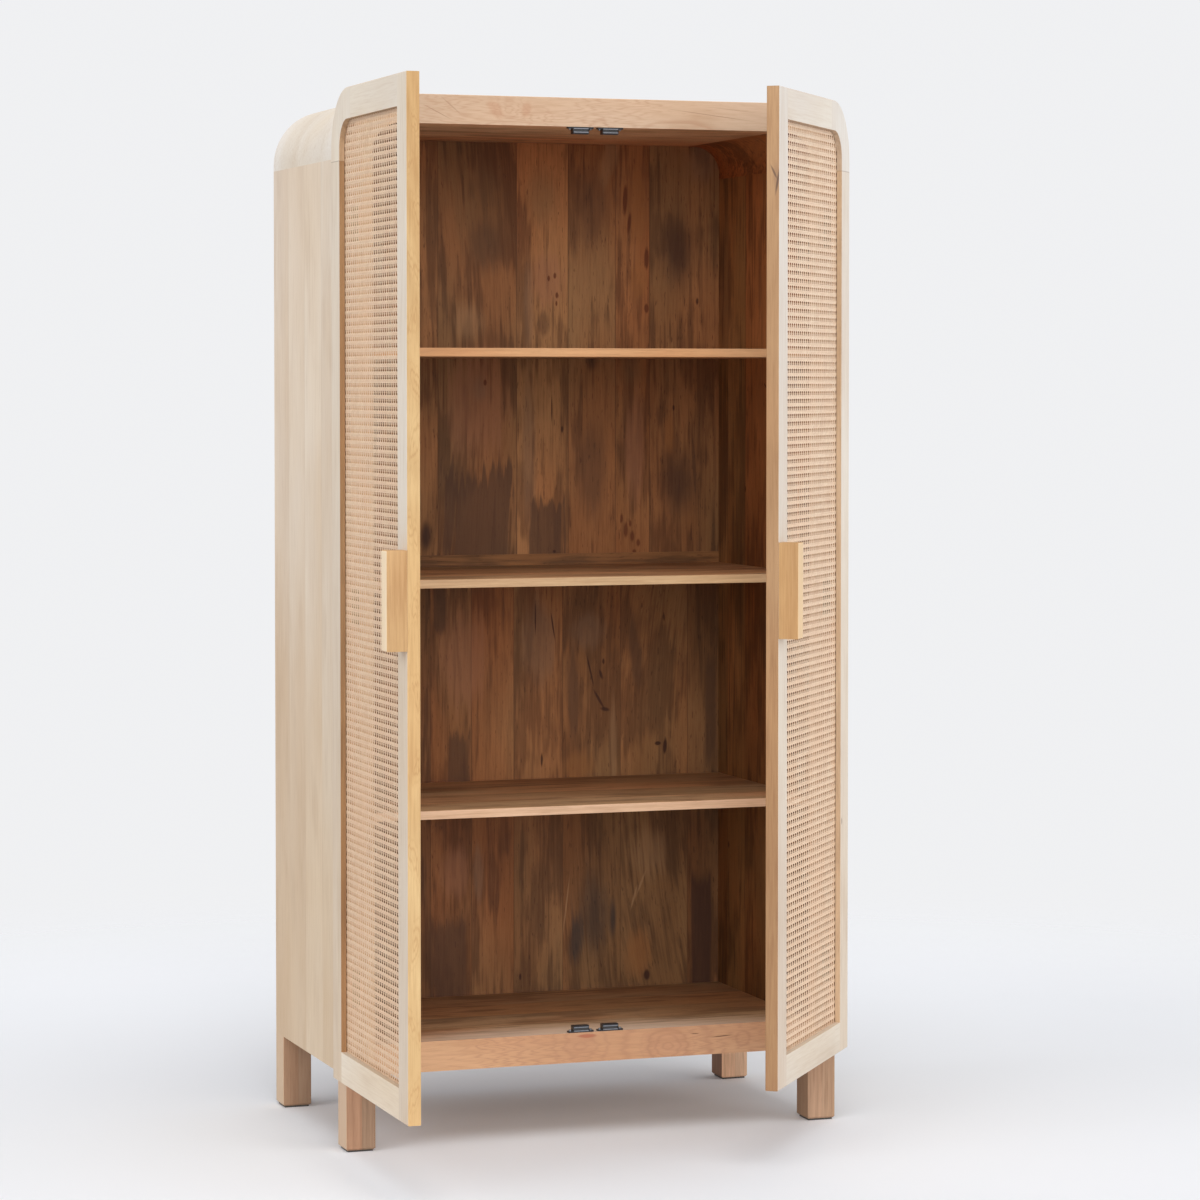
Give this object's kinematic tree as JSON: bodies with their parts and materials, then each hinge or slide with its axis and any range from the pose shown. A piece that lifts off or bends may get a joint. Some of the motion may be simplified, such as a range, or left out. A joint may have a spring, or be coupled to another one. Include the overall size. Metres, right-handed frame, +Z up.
{
  "type": "two-door cabinet",
  "caption": "Tall wooden cabinet with rounded top corners, overlay doors with woven cane panels, shelves, block handles, magnetic catches and square legs.",
  "frame": {"origin": "on the floor, under the middle of the box that holds the whole cabinet with its doors standing open as in the picture", "axes": "+Z up; -Y out of the front, where the doors open; +X to the right of someone facing the front"},
  "size_m": [0.9742, 0.926, 1.8],
  "materials": {
    "pale_wood": "limed, matt",
    "dark_wood": "stained brown, satin",
    "leg_wood": "limed, matt",
    "handle_wood": "limed, satin",
    "bead_wood": "limed, matt",
    "dowel_wood": "bare",
    "cane": "woven cane webbing, satin",
    "catch_plastic": "moulded, matt black",
    "bright_steel": "bright zinc",
    "hinge_steel": "plated, satin",
    "screw_steel": "plated",
    "magnet": "ferrite",
    "glide_plastic": "moulded, matt"
  },
  "bodies": {
    "cabinet": {"back_panel_lower": "dark_wood", "back_panel_upper": "dark_wood", "back_rail": "dark_wood", "bottom_board": "pale_wood", "catch_housing_bottom_left": "catch_plastic", "catch_housing_bottom_right": "catch_plastic", "catch_housing_top_left": "catch_plastic", "catch_housing_top_right": "catch_plastic", "catch_magnets": "magnet", "catch_poles_bottom_left": "bright_steel", "catch_poles_bottom_right": "bright_steel", "catch_poles_top_left": "bright_steel", "catch_poles_top_right": "bright_steel", "catch_screws": "screw_steel", "corner_block_left": "pale_wood", "corner_block_right": "pale_wood", "foot_glides": "glide_plastic", "hinge_pins_left": "hinge_steel", "hinge_pins_right": "hinge_steel", "leg_dowels": "dowel_wood", "leg_front_left": "leg_wood", "leg_front_right": "leg_wood", "leg_rear_left": "leg_wood", "leg_rear_right": "leg_wood", "shelf_lower": "dark_wood", "shelf_middle": "dark_wood", "shelf_upper": "dark_wood", "side_leaf_screws": "screw_steel", "side_leaves_left": "hinge_steel", "side_leaves_right": "hinge_steel", "side_panel_left": "pale_wood", "side_panel_right": "pale_wood", "top_board": "pale_wood"},
    "left_door": {"bottom_rail_left": "pale_wood", "cane_beads_left": "bead_wood", "cane_panel_left": "cane", "door_corner_left": "pale_wood", "door_leaf_screws_left": "screw_steel", "door_leaves_left": "hinge_steel", "handle_left": "handle_wood", "handle_screws_left": "screw_steel", "hinge_stile_left": "pale_wood", "meeting_stile_left": "pale_wood", "strike_plates_left": "bright_steel", "strike_screws_left": "screw_steel", "top_rail_left": "pale_wood"},
    "right_door": {"bottom_rail_right": "pale_wood", "cane_beads_right": "bead_wood", "cane_panel_right": "cane", "door_corner_right": "pale_wood", "door_leaf_screws_right": "screw_steel", "door_leaves_right": "hinge_steel", "handle_right": "handle_wood", "handle_screws_right": "screw_steel", "hinge_stile_right": "pale_wood", "meeting_stile_right": "pale_wood", "strike_plates_right": "bright_steel", "strike_screws_right": "screw_steel", "top_rail_right": "pale_wood"}
  },
  "joints": [
    {"name": "left_door_hinge", "type": "hinge", "parent": "cabinet", "child": "left_door", "pos_m": [-0.43011, -0.014, 0.965], "axis": [0, 0, -1], "range_deg": [-90, 90]},
    {"name": "right_door_hinge", "type": "hinge", "parent": "cabinet", "child": "right_door", "pos_m": [0.46989, -0.014, 0.965], "axis": [0, 0, 1], "range_deg": [-52, 128]}
  ]
}
